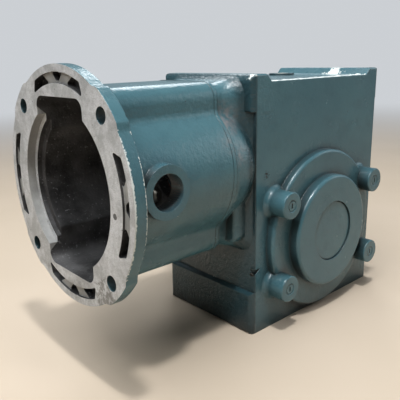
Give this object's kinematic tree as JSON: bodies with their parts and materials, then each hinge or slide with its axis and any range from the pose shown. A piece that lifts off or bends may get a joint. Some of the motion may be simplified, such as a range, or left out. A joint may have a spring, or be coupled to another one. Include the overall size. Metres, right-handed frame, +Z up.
{
  "type": "worm gear reducer",
  "caption": "Right-angle worm gear reducer with a round motor flange on a tubular adapter, a cast case, side posts and a keyed output shaft.",
  "frame": {"origin": "on the base face, straight under the output shaft's axis and in the plane of the worm", "axes": "+X along the worm axis away from the motor flange, +Y along the output axis towards the output shaft's end, +Z up from the base"},
  "size_m": [0.3078, 0.2185, 0.2238],
  "materials": {
    "teal_paint": "semi-gloss",
    "gasket_fibre": "matt",
    "zinc_steel": "zinc plated",
    "spring_steel": "oiled black",
    "seal_rubber": "matt",
    "ground_steel": "ground",
    "bare_iron": "turned",
    "bronze": "machined",
    "bearing_steel": "polished",
    "cage_brass": "satin"
  },
  "bodies": {
    "gear_case": {"housing": "teal_paint", "motor_adapter": "teal_paint", "adapter_gasket": "gasket_fibre", "adapter_screws": "zinc_steel", "output_cover": "teal_paint", "output_cover_gasket": "gasket_fibre", "output_cover_screws": "zinc_steel", "closure_plug": "teal_paint", "worm_end_cap": "teal_paint", "worm_front_snap_ring": "spring_steel", "worm_rear_snap_ring": "spring_steel", "worm_seal": "seal_rubber", "output_seal": "seal_rubber", "fill_plug": "zinc_steel", "level_plug": "zinc_steel", "drain_plug": "zinc_steel", "post_plugs": "teal_paint", "worm_front_bearing_outer_race": "bearing_steel", "worm_rear_bearing_outer_race": "bearing_steel", "output_near_bearing_outer_race": "bearing_steel", "output_far_bearing_outer_race": "bearing_steel"},
    "output_train": {"output_shaft": "ground_steel", "output_key": "ground_steel", "wheel_key": "ground_steel", "wheel_hub": "bare_iron", "wheel_rim": "bronze", "wheel_spacer": "ground_steel", "output_near_bearing_inner_race": "bearing_steel", "output_far_bearing_inner_race": "bearing_steel"},
    "worm_train": {"worm_shaft": "ground_steel", "worm_key": "ground_steel", "worm_front_bearing_inner_race": "bearing_steel", "worm_rear_bearing_inner_race": "bearing_steel"},
    "worm_front_bearing_cage_set": {"worm_front_bearing_balls": "bearing_steel", "worm_front_bearing_cage": "cage_brass"},
    "worm_rear_bearing_cage_set": {"worm_rear_bearing_balls": "bearing_steel", "worm_rear_bearing_cage": "cage_brass"},
    "output_near_bearing_cage_set": {"output_near_bearing_balls": "bearing_steel", "output_near_bearing_cage": "cage_brass"},
    "output_far_bearing_cage_set": {"output_far_bearing_balls": "bearing_steel", "output_far_bearing_cage": "cage_brass"}
  },
  "joints": [
    {"name": "output_spin", "type": "hinge", "parent": "gear_case", "child": "output_train", "pos_m": [0, 0, 0.0746], "axis": [0, 1, 0], "continuous": true},
    {"name": "worm_spin", "type": "hinge", "parent": "gear_case", "child": "worm_train", "pos_m": [0, 0, 0.14128], "axis": [1, 0, 0], "continuous": true},
    {"name": "worm_front_bearing_cage_spin", "type": "hinge", "parent": "gear_case", "child": "worm_front_bearing_cage_set", "pos_m": [0, 0, 0.14128], "axis": [1, 0, 0], "continuous": true},
    {"name": "worm_rear_bearing_cage_spin", "type": "hinge", "parent": "gear_case", "child": "worm_rear_bearing_cage_set", "pos_m": [0, 0, 0.14128], "axis": [1, 0, 0], "continuous": true},
    {"name": "output_near_bearing_cage_spin", "type": "hinge", "parent": "gear_case", "child": "output_near_bearing_cage_set", "pos_m": [0, 0, 0.0746], "axis": [0, 1, 0], "continuous": true},
    {"name": "output_far_bearing_cage_spin", "type": "hinge", "parent": "gear_case", "child": "output_far_bearing_cage_set", "pos_m": [0, 0, 0.0746], "axis": [0, 1, 0], "continuous": true}
  ],
  "couplings": [
    {"joint": "worm_spin", "follows": "output_spin", "ratio": -30},
    {"joint": "worm_front_bearing_cage_spin", "follows": "output_spin", "ratio": -11.894},
    {"joint": "worm_rear_bearing_cage_spin", "follows": "output_spin", "ratio": -11.894},
    {"joint": "output_near_bearing_cage_spin", "follows": "output_spin", "ratio": 0.39626},
    {"joint": "output_far_bearing_cage_spin", "follows": "output_spin", "ratio": 0.39626}
  ]
}
